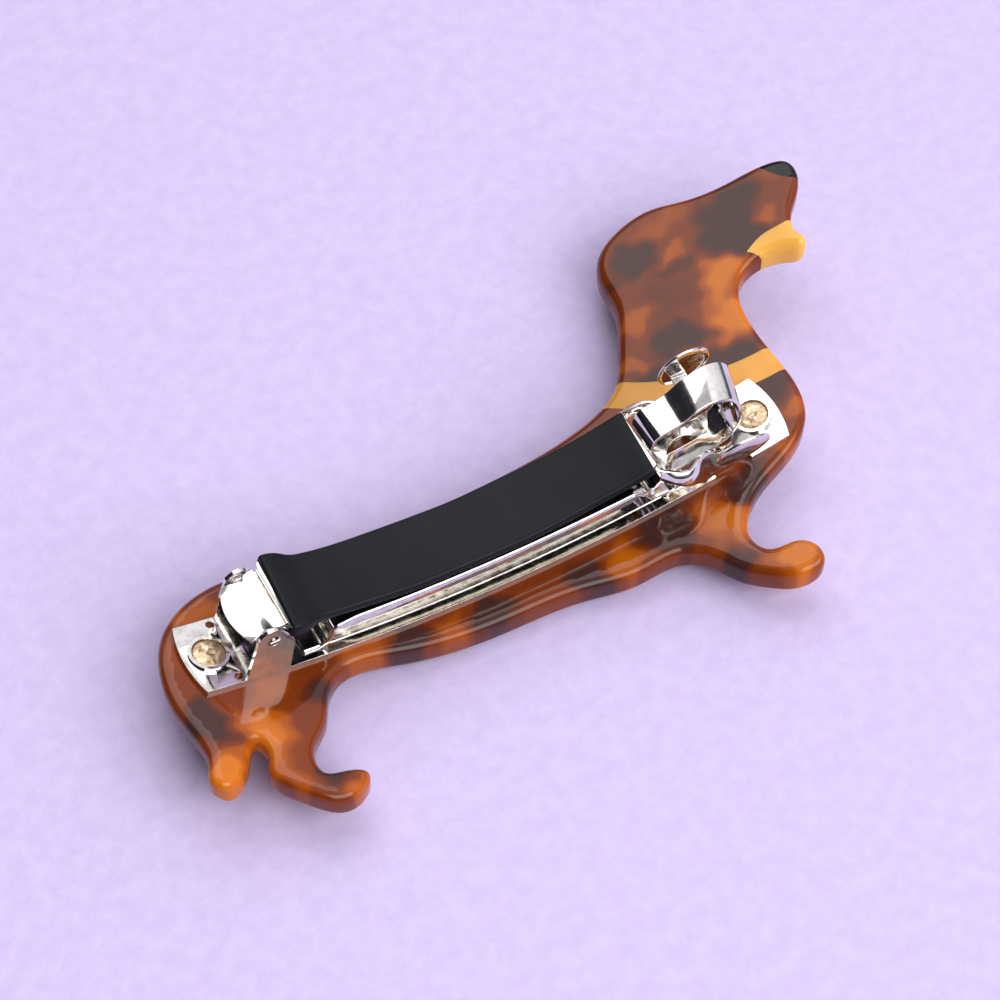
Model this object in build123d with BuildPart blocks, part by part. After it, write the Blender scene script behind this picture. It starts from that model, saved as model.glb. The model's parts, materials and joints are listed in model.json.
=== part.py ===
from build123d import *
import math
import os

os.makedirs("parts", exist_ok=True)

# A dog-shaped hair barrette, lying face down with its clip upwards. Millimetres.
# X runs along the clip from the hinge to the clasp, Y across it towards the dog's
# back, Z up. The object's origin is under the middle of its box, where it rests. The
# sketches below are drawn from the middle of the base bar's upper face, at bar_centre.
bar_centre = (-7.8, -5.7, 4.6)

# Base bar: a plated steel strip bent to a gentle arc, the size called 80 mm
bar_radius = 158.0
bar_length = 80.0
bar_width = 9.8
bar_sheet = 0.6
bar_end_bulge = 0.8
bead_y = 3.3
bead_width = 0.7
bead_height = 0.25
bead_left, bead_right = -23.0, 22.0
notch_x, notch_length, notch_width = 31.5, 5.0, 1.8
relief_x, relief_y, relief_radius = -34.9, 4.0, 0.5
end_hole_x, end_hole_radius = 32.2, 1.6

# Rivets that hold the bar to the acetate
rivet_x = 36.9
rivet_shank = 2.0
rivet_depth = 2.8
rivet_head = 4.1
rim_outside = 5.0
rim_height = 0.5

# Ears of the hinge and the arm's pivot
ear_sheet = 0.5
pivot_x = -30.4
pivot_height = 6.3
lug_diameter = 1.5
lug_clearance = 0.06
lug_end_y = 5.15

# Arm: a strip bent tighter than the bar and nearest to it at arm_x
arm_radius = 88.0
arm_x = -2.0
arm_height = 6.5
arm_sheet = 0.6
arm_width = 8.6
arm_left, arm_right = -28.3, 21.0
shoulder_width = 10.4
shoulder_flat = 1.2
shoulder_end_x = -25.0
panel_half = 3.4
lug_web_length, lug_web_height, lug_web_sheet = 2.0, 2.3, 0.6
loop_width = 4.64
loop_sheet = 0.5
lower_run_left, lower_run_right = 23.2, 30.6
lower_run_width = 2.1

# Silicone sleeve on the arm
sleeve_left, sleeve_right = -27.6, 20.2
sleeve_width = 9.4
sleeve_flare_width = 11.2
sleeve_flare_end = -23.5
sleeve_wall = 0.35
sleeve_end_wall = 0.8
sleeve_clearance = 0.03

# Tension bar between the arm and the base bar
spring_sheet = 0.35
spring_width = 9.0
spring_lip = 1.1

# Catch: a floor plate and two sprung wings that end in thumb discs
floor_sheet = 0.4
floor_left, floor_right = 24.0, 30.6
floor_width = 6.8
bar_hole_x = 27.6
bar_hole = 4.8
wing_sheet = 0.4
disc_diameter = 7.2
disc_sheet = 0.4
disc_rim = 0.35
disc_centre = (30.9, 7.3)
disc_height = 6.9
disc_leans = (17.0, 8.0)
neck_left = 29.2
neck_width = 2.2

# Acetate plate and the inlays through it
plate_thickness = 4.0
collar_centre = (44.7, 37.7)
collar_inner, collar_outer = 30.0, 33.9

plan = Plane(origin=bar_centre)
side = Plane(origin=bar_centre, x_dir=(1, 0, 0), z_dir=(0, -1, 0))
tall = 60.0


def rise(x):
    """Height of the base bar's upper face at x, above its middle."""
    return bar_radius - math.sqrt(bar_radius**2 - x**2)


def above_bar(points):
    """Points (x, height above the bar) as points of the side plane."""
    return [(x, rise(x) + height) for x, height in points]


def on_bar(x):
    """Plane on the bar's upper face at x, square to its arc."""
    tilt = math.asin(x / bar_radius)
    middle = (bar_centre[0] + x, bar_centre[1], bar_centre[2] + rise(x))
    return Plane(origin=middle, x_dir=(math.cos(tilt), 0, math.sin(tilt)),
                 z_dir=(-math.sin(tilt), 0, math.cos(tilt)))


def finish(piece, name):
    """Label a finished piece and write its file."""
    piece.label = name
    export_step(piece, f"parts/{name}.step")


# ---- acetate: one plate cut to the dog's outline and bent to the bar's arc -----------
rump = [(-12, 9.5), (-24, 10.3), (-31.5, 10.2), (-37.3, 8.1), (-41.2, 4.4), (-43.1, 0.0), (-43.7, -5.0)]
tail = [(-43.0, -10.0), (-43.2, -13.4), (-44.0, -15.9), (-42.6, -17.5), (-40.0, -16.3), (-38.1, -13.7),
        (-36.8, -12.3)]
hind_leg = [(-36.2, -13.8), (-37.2, -16.9), (-34.7, -21.0), (-31.2, -23.6), (-27.9, -22.8),
            (-26.6, -20.9), (-28.6, -19.7), (-31.2, -19.0), (-31.3, -16.4), (-28.0, -12.6),
            (-26.2, -9.6), (-23.4, -7.3)]
belly = [(-15.4, -7.8), (-2.5, -9.2), (8, -9.8), (15, -11.1), (20.6, -11.4)]
foreleg = [(23.4, -13.6), (25.2, -16.8), (28.0, -19.8), (31.5, -21.9), (34.5, -21.3), (34.8, -18.9),
           (32.9, -17.0), (29.9, -16.3), (28.8, -14.0), (30.6, -10.4), (34.3, -7.9)]
throat = [(39.4, -5.9), (42.8, -3.0), (44.1, 1.0), (44.1, 7.0), (44.2, 13.6), (45.7, 17.9), (48.6, 19.5)]
tongue = [(51.0, 19.3), (53.0, 18.3), (54.7, 17.6), (55.5, 18.3), (55.2, 20.0)]
snout = [(55.9, 22.6), (58.0, 24.8), (59.4, 27.0), (59.3, 29.6), (57.0, 31.1), (51.7, 32.0)]
skull = [(46.4, 33.3), (42.0, 34.9), (37.3, 34.6), (33.4, 32.5), (31.8, 29.2)]
nape = [(31.4, 24.9), (28.9, 19.2), (25.4, 14.0), (18.7, 11.2), (6, 10.0)]

with BuildPart() as plate:
    with BuildSketch(plan):
        with BuildLine():
            Spline(*rump, *tail, *hind_leg, *belly, *foreleg, *throat, *tongue, *snout, *skull, *nape,
                   periodic=True)
        make_face()
    extrude(amount=tall, both=True)
    with BuildSketch(side):
        with Locations((0, bar_radius)):
            Circle(bar_radius + bar_sheet + plate_thickness)
            Circle(bar_radius + bar_sheet, mode=Mode.SUBTRACT)
        Rectangle(4 * tall, tall, mode=Mode.INTERSECT)
    extrude(amount=tall, both=True, mode=Mode.INTERSECT)
    for x in (-rivet_x, rivet_x):
        with BuildSketch(on_bar(x)):
            Circle(rivet_shank / 2)
        extrude(amount=-rivet_depth, mode=Mode.SUBTRACT)

# Areas of the outline that are other colours, each cut straight through the plate
with BuildPart() as collar_area:
    with BuildSketch(plan):
        with Locations(collar_centre):
            Circle(collar_outer)
            Circle(collar_inner, mode=Mode.SUBTRACT)
        with Locations((34, 9)):
            Rectangle(26, 16, mode=Mode.INTERSECT)
    extrude(amount=tall, both=True)

with BuildPart() as tongue_area:
    with BuildSketch(plan):
        with BuildLine():
            seam = Spline((56.2, 21.9), (54.1, 21.8), (51.3, 22.0), (48.5, 21.1))
            Polyline(seam @ 1, (50.9, 18.3), (52.0, 15.0), (60.0, 15.0), seam @ 0)
        make_face()
    extrude(amount=tall, both=True)

with BuildPart() as nose_area:
    with BuildSketch(plan):
        with BuildLine():
            seam = Spline((54.6, 33.5), (55.9, 30.6), (57.2, 28.0), (58.2, 26.8), (61.0, 25.4))
            Polyline(seam @ 1, (62.0, 33.5), seam @ 0)
        make_face()
    extrude(amount=tall, both=True)

with BuildPart() as head_area:
    with BuildSketch(plan):
        with Locations(collar_centre):
            Circle(collar_inner)
    extrude(amount=tall, both=True)

with BuildPart() as collar_band:
    add(plate.part)
    add(collar_area.part, mode=Mode.INTERSECT)
finish(collar_band.part, "collar_band")

with BuildPart() as tongue_inlay:
    add(plate.part)
    add(tongue_area.part, mode=Mode.INTERSECT)
finish(tongue_inlay.part, "tongue_inlay")

with BuildPart() as nose_tip:
    add(plate.part)
    add(nose_area.part, mode=Mode.INTERSECT)
finish(nose_tip.part, "nose_tip")

with BuildPart() as dog_head:
    add(plate.part)
    add(head_area.part, mode=Mode.INTERSECT)
    add(tongue_area.part, mode=Mode.SUBTRACT)
    add(nose_area.part, mode=Mode.SUBTRACT)
finish(dog_head.part, "dog_head")

with BuildPart() as dog_body:
    add(plate.part)
    add(collar_area.part, mode=Mode.SUBTRACT)
    add(head_area.part, mode=Mode.SUBTRACT)
finish(dog_body.part, "dog_body")

# ---- base bar: arc strip, rivet rims, beads and the two ears -------------------------
ear_top = above_bar([(-32.4, 6.3), (-31.6, 7.8), (-30.3, 8.4), (-28.9, 7.7), (-28.1, 6.3), (-27.9, 4.6)])
ear_feet = above_bar([(-28.7, 0), (-28.7, -bar_sheet), (-34.2, -bar_sheet), (-34.2, 0)])

with BuildPart() as base_bar:
    with BuildSketch(side):
        with Locations((0, bar_radius)):
            Circle(bar_radius + bar_sheet)
            Circle(bar_radius, mode=Mode.SUBTRACT)
        Rectangle(4 * tall, tall, mode=Mode.INTERSECT)
    extrude(amount=bar_width / 2, both=True)
    with BuildSketch(plan):
        with BuildLine():
            tip_x, end_x, edge_y = bar_length / 2, bar_length / 2 - bar_end_bulge, bar_width / 2
            right_end = ThreePointArc((end_x, -edge_y), (tip_x, 0), (end_x, edge_y))
            left_end = ThreePointArc((-end_x, edge_y), (-tip_x, 0), (-end_x, -edge_y))
            Line(right_end @ 1, left_end @ 0)
            Line(left_end @ 1, right_end @ 0)
        make_face()
        with Locations((notch_x, -bar_width / 2), (notch_x, bar_width / 2)):
            SlotOverall(notch_length, notch_width, mode=Mode.SUBTRACT)
        with Locations((relief_x, -relief_y), (relief_x, relief_y)):
            Circle(relief_radius, mode=Mode.SUBTRACT)
        with Locations((bar_hole_x, 0)):
            Circle(bar_hole / 2, mode=Mode.SUBTRACT)
        with Locations((end_hole_x, 0)):
            Circle(end_hole_radius, mode=Mode.SUBTRACT)
    extrude(amount=tall, both=True, mode=Mode.INTERSECT)
    for x in (-rivet_x, rivet_x):
        with BuildSketch(on_bar(x)):
            Circle(rim_outside / 2)
        extrude(amount=rim_height)
        with BuildSketch(on_bar(x)):
            Circle(rivet_head / 2)
        extrude(amount=rim_height, mode=Mode.SUBTRACT)
        with BuildSketch(on_bar(x)):
            Circle(rivet_shank / 2)
        extrude(amount=bar_sheet + 0.5, both=True, mode=Mode.SUBTRACT)
    for y in (-bead_y - bead_width / 2, bead_y - bead_width / 2):
        with BuildSketch(side.offset(-y)):
            with Locations((0, bar_radius)):
                Circle(bar_radius)
                Circle(bar_radius - bead_height, mode=Mode.SUBTRACT)
            with Locations(((bead_left + bead_right) / 2, 0)):
                Rectangle(bead_right - bead_left, tall, mode=Mode.INTERSECT)
        extrude(amount=-bead_width)
    for y in (-bar_width / 2, bar_width / 2 - ear_sheet):
        with BuildSketch(side.offset(-y)):
            with BuildLine():
                crest = Spline(*ear_top)
                Polyline(crest @ 1, *ear_feet, crest @ 0)
            make_face()
            with Locations(above_bar([(pivot_x, pivot_height)])[0]):
                Circle(lug_diameter / 2 + lug_clearance, mode=Mode.SUBTRACT)
        extrude(amount=-ear_sheet)
finish(base_bar.part, "base_bar")

# ---- rivets --------------------------------------------------------------------------
for name, x in (("hinge_rivet", -rivet_x), ("clasp_rivet", rivet_x)):
    with BuildPart() as rivet:
        with BuildSketch(on_bar(x)):
            Circle(rivet_head / 2)
        extrude(amount=rim_height, taper=12)
        with BuildSketch(on_bar(x)):
            Circle(rivet_shank / 2)
        extrude(amount=-rivet_depth)
    finish(rivet.part, name)

# ---- arm: panel with lugs, bent strip and the rolled loop at its free end ------------
arm_arc_centre = (arm_x, arm_height + arm_radius)


def arm_z(x):
    """Height of the arm's middle line at x in the side plane."""
    return arm_arc_centre[1] - math.sqrt(arm_radius**2 - (x - arm_x) ** 2)


pivot = above_bar([(pivot_x, pivot_height)])[0]

with BuildPart() as top_arm:
    with BuildSketch(side):
        with Locations(arm_arc_centre):
            Circle(arm_radius + arm_sheet / 2)
            Circle(arm_radius - arm_sheet / 2, mode=Mode.SUBTRACT)
        with Locations(((arm_left + arm_right) / 2, 0)):
            Rectangle(arm_right - arm_left, tall, mode=Mode.INTERSECT)
    extrude(amount=tall, both=True)
    with BuildSketch(plan):
        with BuildLine():
            half, wide = arm_width / 2, shoulder_width / 2
            flat_end = arm_left + shoulder_flat
            Polyline((arm_left, -wide), (flat_end, -wide), (shoulder_end_x, -half), (arm_right, -half),
                     (arm_right, half), (shoulder_end_x, half), (flat_end, wide), (arm_left, wide),
                     close=True)
        make_face()
    extrude(amount=tall, both=True, mode=Mode.INTERSECT)
    with BuildSketch(side):
        with BuildLine() as panel_line:
            FilletPolyline((arm_left + 0.6, arm_z(arm_left) - 0.05), (arm_left - 0.3, arm_z(arm_left)),
                           (-32.6, 9.9), (-33.2, 9.0), radius=0.5)
        trace(panel_line.line, line_width=arm_sheet)
    extrude(amount=panel_half, both=True)
    for sign in (-1, 1):
        with BuildSketch(side.offset(-sign * panel_half)):
            with Locations((pivot[0], pivot[1] + 0.35)):
                Rectangle(lug_web_length, lug_web_height)
        extrude(amount=-sign * lug_web_sheet)
        with BuildSketch(side.offset(-sign * panel_half)):
            with Locations(pivot):
                Circle(lug_diameter / 2)
        extrude(amount=-sign * (lug_end_y - panel_half))
    with BuildSketch(side):
        with BuildLine() as loop_line:
            loop_points = above_bar([(20.7, 8.0), (21.3, 7.6), (21.8, 3.9), (23.6, 2.1), (28.8, 1.9),
                                     (31.9, 3.0), (33.7, 6.7), (33.5, 10.4), (30.4, 12.5), (26.5, 11.2),
                                     (21.7, 10.5), (21.0, 8.7)])
            FilletPolyline(*loop_points, radius=0.5)
        trace(loop_line.line, line_width=loop_sheet)
    extrude(amount=loop_width / 2, both=True)
    # Only a strip at the belly edge is left of the loop's lower run
    with BuildSketch(side.offset(loop_width / 2 - lower_run_width)):
        with Locations(((lower_run_left + lower_run_right) / 2, rise(lower_run_right) + 2.0)):
            Rectangle(lower_run_right - lower_run_left, 4.4)
    extrude(amount=-loop_width, mode=Mode.SUBTRACT)
finish(top_arm.part, "top_arm")

# ---- silicone sleeve -----------------------------------------------------------------
def skin(sign):
    """Points of the sleeve's upper (1) or lower (-1) face, thicker at both ends."""
    middle = arm_sheet / 2 + sleeve_wall
    thick = arm_sheet / 2 + sleeve_end_wall
    stations = [(sleeve_left, thick), (sleeve_left + 1.5, thick), (sleeve_left + 6, middle), (-10, middle),
                (4, middle), (14, middle), (sleeve_right + 0.2, middle + 0.15)]
    return [(x, arm_z(x) + sign * offset) for x, offset in stations]


def grip_plan(wide, half, cut):
    """Outline seen from above: flared at the hinge end, cut a little askew at the clasp end."""
    near = Spline((sleeve_left, -wide), (sleeve_left + 1.5, -wide), (sleeve_flare_end, -half),
                  (sleeve_flare_end + 3, -half))
    far = mirror(near, about=Plane.XZ)
    Polyline(near @ 1, (sleeve_right + cut, -half), (sleeve_right - cut, half), far @ 1)
    Line(near @ 0, far @ 0)


with BuildPart() as sleeve_blank:
    with BuildSketch(side):
        with BuildLine():
            upper = Spline(*skin(1))
            lower = Spline(*skin(-1))
            Line(upper @ 0, lower @ 0)
            Line(upper @ 1, lower @ 1)
        make_face()
    extrude(amount=tall, both=True)
    with BuildSketch(plan):
        with BuildLine():
            grip_plan(sleeve_flare_width / 2, sleeve_width / 2, 0.2)
        make_face()
    extrude(amount=tall, both=True, mode=Mode.INTERSECT)

with BuildPart() as sleeve_bore:
    with BuildSketch(side):
        with Locations(arm_arc_centre):
            Circle(arm_radius + arm_sheet / 2 + sleeve_clearance)
            Circle(arm_radius - arm_sheet / 2 - sleeve_clearance, mode=Mode.SUBTRACT)
        Rectangle(4 * tall, tall, mode=Mode.INTERSECT)
    extrude(amount=tall, both=True)
    with BuildSketch(plan):
        with BuildLine():
            half, wide = arm_width / 2 + sleeve_clearance, shoulder_width / 2 + sleeve_clearance
            flat_end = arm_left + shoulder_flat + sleeve_clearance
            bore_left, bore_right = arm_left - 1, arm_right + 1
            Polyline((bore_left, -wide), (flat_end, -wide), (shoulder_end_x, -half), (bore_right, -half),
                     (bore_right, half), (shoulder_end_x, half), (flat_end, wide), (bore_left, wide),
                     close=True)
        make_face()
    extrude(amount=tall, both=True, mode=Mode.INTERSECT)

with BuildPart() as grip_sleeve:
    add(sleeve_blank.part)
    add(sleeve_bore.part, mode=Mode.SUBTRACT)
finish(grip_sleeve.part, "grip_sleeve")

# ---- tension bar: a bowed strip with turned-down lips and a foot at each end -----------
bow = above_bar([(-19.5, 4.75), (-1, 4.85), (17.6, 4.75)])
bow_lip = [(x, z - spring_lip) for x, z in bow]

with BuildPart() as tension_bar:
    with BuildSketch(side):
        with BuildLine() as bow_line:
            left_points = above_bar([(-26.4, 0.35), (-24.4, 0.35), (-23.3, 1.5), (-22.7, 4.0)]) + [bow[0]]
            FilletPolyline(*left_points, radius=0.4)
            ThreePointArc(*bow)
            right_points = [bow[2]] + above_bar([(19.6, 3.6), (20.3, 2.1), (22.6, 1.8)])
            FilletPolyline(*right_points, radius=0.4)
        trace(bow_line.line, line_width=spring_sheet)
    extrude(amount=spring_width / 2, both=True)
    for y in (-spring_width / 2, spring_width / 2 - spring_sheet):
        with BuildSketch(side.offset(-y)):
            with BuildLine():
                top = ThreePointArc(*bow)
                bottom = ThreePointArc(*bow_lip)
                Polyline(top @ 0, above_bar([(-22.4, 4.2)])[0], bottom @ 0)
                Line(top @ 1, bottom @ 1)
            make_face()
        extrude(amount=-spring_sheet)
finish(tension_bar.part, "tension_bar")

# ---- catch: floor plate on the bar, and a wing with a thumb disc on each side ----------
with BuildPart() as catch_floor:
    with BuildSketch(side):
        with Locations((0, bar_radius)):
            Circle(bar_radius)
            Circle(bar_radius - floor_sheet, mode=Mode.SUBTRACT)
        Rectangle(4 * tall, tall, mode=Mode.INTERSECT)
    extrude(amount=floor_width / 2, both=True)
    with BuildSketch(plan):
        with Locations(((floor_left + floor_right) / 2, 0)):
            Rectangle(floor_right - floor_left, floor_width)
        with Locations((bar_hole_x, 0)):
            Circle(bar_hole / 2, mode=Mode.SUBTRACT)
    extrude(amount=tall, both=True, mode=Mode.INTERSECT)
finish(catch_floor.part, "catch_floor")

wing_plan = [(20.8, 4.9), (22.4, 5.5), (24.3, 5.9), (26.4, 4.9), (28.6, 4.25), (31.4, 4.25)]
wing_profile = above_bar([(20.0, 8.7), (22.5, 6.9), (24.5, 6.0), (26.3, 6.0), (28.6, 4.1), (31.4, 4.0),
                          (31.4, 0.6), (29.8, 0.15), (27.4, 0.15), (26.3, 1.5), (24.7, 2.4), (22.7, 3.7),
                          (20.0, 6.9)])

for name, sign, lean in (("thumb_tab_belly", -1, disc_leans[0]), ("thumb_tab_back", 1, disc_leans[1])):
    with BuildPart() as thumb_tab:
        with BuildSketch(plan):
            with BuildLine() as wing_line:
                Spline(*[(x, sign * y) for x, y in wing_plan])
            trace(wing_line.line, line_width=wing_sheet)
        extrude(amount=tall, both=True)
        with BuildSketch(side):
            with BuildLine():
                Polyline(*wing_profile, close=True)
            make_face()
        extrude(amount=tall, both=True, mode=Mode.INTERSECT)
        # Disc: its face looks along the bar's width, its top leaning towards the belly
        lean_angle = math.radians(lean)
        disc_middle = (bar_centre[0] + disc_centre[0], bar_centre[1] + sign * disc_centre[1],
                       bar_centre[2] + rise(disc_centre[0]) + disc_height)
        outward = (0, sign * math.cos(lean_angle), sign * math.sin(lean_angle))
        disc_plane = Plane(origin=disc_middle, x_dir=(1, 0, 0), z_dir=outward)
        with BuildSketch(disc_plane):
            Circle(disc_diameter / 2)
        extrude(amount=disc_sheet / 2, both=True)
        with BuildSketch(disc_plane.offset(-disc_sheet / 2)):
            Circle(disc_diameter / 2)
            Circle(disc_diameter / 2 - disc_rim, mode=Mode.SUBTRACT)
        extrude(amount=-disc_rim)
        # Neck: bends from the wing out to the disc
        neck_plane = Plane(origin=bar_centre, x_dir=(0, 1, 0), z_dir=(1, 0, 0)).offset(neck_left)
        with BuildSketch(neck_plane):
            with BuildLine() as neck_line:
                foot_z = rise(disc_centre[0])
                disc_foot_y = sign * disc_centre[1] + (disc_height - 5.3) * math.tan(lean_angle)
                FilletPolyline((sign * 4.25, foot_z + 1.2), (sign * 4.25, foot_z + 3.4),
                               (sign * 6.0, foot_z + 4.8), (disc_foot_y, foot_z + 5.3), radius=0.5)
            trace(neck_line.line, line_width=wing_sheet)
        extrude(amount=neck_width)
    finish(thumb_tab.part, name)
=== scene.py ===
import json
import math

import bmesh
import bpy
import numpy as np
from mathutils import Matrix, Vector, geometry

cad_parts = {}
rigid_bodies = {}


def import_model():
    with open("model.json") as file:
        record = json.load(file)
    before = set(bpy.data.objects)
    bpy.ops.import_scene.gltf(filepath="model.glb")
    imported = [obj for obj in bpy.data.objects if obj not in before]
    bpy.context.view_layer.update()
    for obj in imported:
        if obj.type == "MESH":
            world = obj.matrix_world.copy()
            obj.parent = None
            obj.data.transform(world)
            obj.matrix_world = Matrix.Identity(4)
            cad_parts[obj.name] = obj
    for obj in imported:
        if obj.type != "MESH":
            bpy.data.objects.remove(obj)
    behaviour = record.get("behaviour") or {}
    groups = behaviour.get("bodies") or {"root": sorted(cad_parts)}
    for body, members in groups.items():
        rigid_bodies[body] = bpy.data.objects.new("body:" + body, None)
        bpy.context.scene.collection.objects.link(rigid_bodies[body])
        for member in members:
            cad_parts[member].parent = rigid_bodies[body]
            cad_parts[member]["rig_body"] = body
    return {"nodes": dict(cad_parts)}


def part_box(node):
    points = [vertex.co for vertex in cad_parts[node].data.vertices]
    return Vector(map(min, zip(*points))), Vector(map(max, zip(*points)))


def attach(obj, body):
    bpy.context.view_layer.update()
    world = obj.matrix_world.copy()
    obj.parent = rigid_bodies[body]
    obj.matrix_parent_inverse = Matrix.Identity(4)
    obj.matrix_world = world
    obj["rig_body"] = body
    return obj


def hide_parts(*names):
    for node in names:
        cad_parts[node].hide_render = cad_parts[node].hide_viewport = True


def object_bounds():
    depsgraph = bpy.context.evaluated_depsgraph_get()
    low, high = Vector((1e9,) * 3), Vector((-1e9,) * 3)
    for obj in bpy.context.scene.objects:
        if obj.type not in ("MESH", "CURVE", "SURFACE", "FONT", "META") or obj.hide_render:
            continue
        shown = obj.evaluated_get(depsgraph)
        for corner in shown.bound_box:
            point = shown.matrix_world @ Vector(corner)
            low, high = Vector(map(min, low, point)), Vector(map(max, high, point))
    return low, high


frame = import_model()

# A dog-shaped hair barrette with its clip upwards. Lengths below are millimetres from the middle of the
# base bar's upper face: x along the clip from hinge to clasp, y towards the dog's back, z up. place()
# turns them into the frame's metres.
MM = 0.001
BAR_RADIUS = 158.0
BAR_SHEET = 0.6
PLATE_THICK = 4.0

cad_low, cad_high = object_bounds()
bar_low, bar_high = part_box("base_bar")
BAR_MIDDLE = np.array([(bar_low.x + bar_high.x) / 2, (bar_low.y + bar_high.y) / 2, bar_low.z + BAR_SHEET * MM])


def place(points):
    """Frame metres of points given in millimetres from the bar's middle."""
    return np.asarray(points, float) * MM + BAR_MIDDLE


def rise(x):
    """Height of the bar's upper face: a circle of BAR_RADIUS that touches z = 0 at x = 0."""
    return BAR_RADIUS - np.sqrt(BAR_RADIUS**2 - np.asarray(x, float) ** 2)


def above_bar(points):
    """Points (x, height above the bar) as points (x, z)."""
    points = np.array(points, float)
    points[:, 1] += rise(points[:, 0])
    return points


# ---------------------------------------------------------------- curves
def smooth_through(points, count, closed=False):
    """Cubic spline through the points, evenly stepped along their chords.

    The second slopes m solve h0*m0 + 2*(h0 + h1)*m1 + h1*m2 = 6*(rise1/h1 - rise0/h0) at each point.
    They are zero at the two ends, or wrap round on a closed curve.
    """
    knots = np.asarray(points, float)
    if closed:
        knots = np.vstack([knots, knots[:1]])
    gap = np.linalg.norm(np.diff(knots, axis=0), axis=1)
    slope = np.diff(knots, axis=0) / gap[:, None]
    spans = len(gap)
    system = np.zeros((spans + 1, spans + 1))
    change = np.zeros_like(knots)
    inner = np.arange(1, spans)
    system[inner, inner - 1] = gap[:-1]
    system[inner, inner] = 2 * (gap[:-1] + gap[1:])
    system[inner, inner + 1] = gap[1:]
    change[1:-1] = 6 * (slope[1:] - slope[:-1])
    if closed:
        system[0, [0, 1, spans - 1]] = 2 * (gap[-1] + gap[0]), gap[0], gap[-1]
        change[0] = 6 * (slope[0] - slope[-1])
        system[spans, [0, spans]] = 1, -1
    else:
        system[0, 0] = system[spans, spans] = 1
    bend = np.linalg.solve(system, change)
    along = np.concatenate([[0], np.cumsum(gap)])
    at = np.linspace(0, along[-1], count, endpoint=not closed)
    span = np.clip(np.searchsorted(along, at, side="right") - 1, 0, spans - 1)
    h = gap[span][:, None]
    right = (at - along[span])[:, None]
    left = h - right
    return (
        (bend[span] * left**3 + bend[span + 1] * right**3) / (6 * h)
        + (knots[span] / h - bend[span] * h / 6) * left
        + (knots[span + 1] / h - bend[span + 1] * h / 6) * right
    )


def bent_line(points, radius, step=0.35):
    """Straight runs joined by parabolas that start radius before each corner and end radius past it."""
    points = np.asarray(points, float)
    run = np.diff(points, axis=0)
    length = np.linalg.norm(run, axis=1)
    way = run / length[:, None]
    cut = np.minimum(radius, 0.48 * np.minimum(length[:-1], length[1:]))[:, None]
    enter = points[1:-1] - way[:-1] * cut
    leave = points[1:-1] + way[1:] * cut
    t = np.linspace(0, 1, 9)[None, :, None]
    turns = (1 - t) ** 2 * enter[:, None] + 2 * t * (1 - t) * points[1:-1, None] + t**2 * leave[:, None]
    line = [points[:1]]
    for turn in list(turns) + [points[-1:]]:
        steps = max(int(np.linalg.norm(turn[0] - line[-1][-1]) / step), 1)
        share = np.arange(1, steps + 1)[:, None] / steps
        line.append(line[-1][-1] + share * (turn[0] - line[-1][-1]))
        line.append(turn[1:])
    return np.vstack(line)


def unit(vectors):
    """The vectors at length 1."""
    return vectors / np.linalg.norm(vectors, axis=-1, keepdims=True)


# ---------------------------------------------------------------- shells
def ring_faces(rings, around, rings_closed=False):
    """Quads between each ring of points and the next, each ring closed on itself."""
    i = np.arange(rings if rings_closed else rings - 1)[:, None]
    j = np.arange(around)[None, :]
    nxt = (i + 1) % rings
    far = (j + 1) % around
    quads = np.stack([i * around + j, i * around + far, nxt * around + far, nxt * around + j], axis=-1)
    return quads.reshape(-1, 4).tolist()


def capped_faces(rings, around):
    """Quads between the rings, and one face over each end."""
    last_ring = (rings - 1) * around
    return ring_faces(rings, around) + [list(range(around)), list(range(last_ring, last_ring + around))]


def rounded_corners(steps):
    """Angles round a rounded rectangle, and the signs of each corner's centre across and up."""
    turn = np.radians(np.concatenate([np.linspace(q, q + 90, steps) for q in (0, 90, 180, 270)]))
    return turn, np.repeat([1, -1, -1, 1], steps), np.repeat([1, 1, -1, -1], steps)


def make_piece(name, points, faces, finish, body, sharp=35, shades=None):
    """One closed piece: its points in millimetres, faces turned outwards, its finish and the body it rides."""
    mesh = bpy.data.meshes.new(name)
    mesh.from_pydata(place(points).tolist(), [], faces)
    if shades is not None:
        mesh.attributes.new("shade", "FLOAT", "POINT").data.foreach_set("value", np.asarray(shades, np.float32))
    shell = bmesh.new()
    shell.from_mesh(mesh)
    bmesh.ops.recalc_face_normals(shell, faces=shell.faces)
    shell.to_mesh(mesh)
    shell.free()
    mesh.shade_smooth()
    mesh.set_sharp_from_angle(angle=math.radians(sharp))
    mesh.materials.append(finish["material"])
    made = bpy.data.objects.new(name, mesh)
    bpy.context.scene.collection.objects.link(made)
    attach(made, body)
    return made


def soften(made, width):
    """Rounds a piece's sharp edges."""
    bevel = made.modifiers.new("soft edges", "BEVEL")
    bevel.width = width * MM
    bevel.segments = 2
    bevel.limit_method = "ANGLE"
    bevel.angle_limit = math.radians(35)


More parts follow.
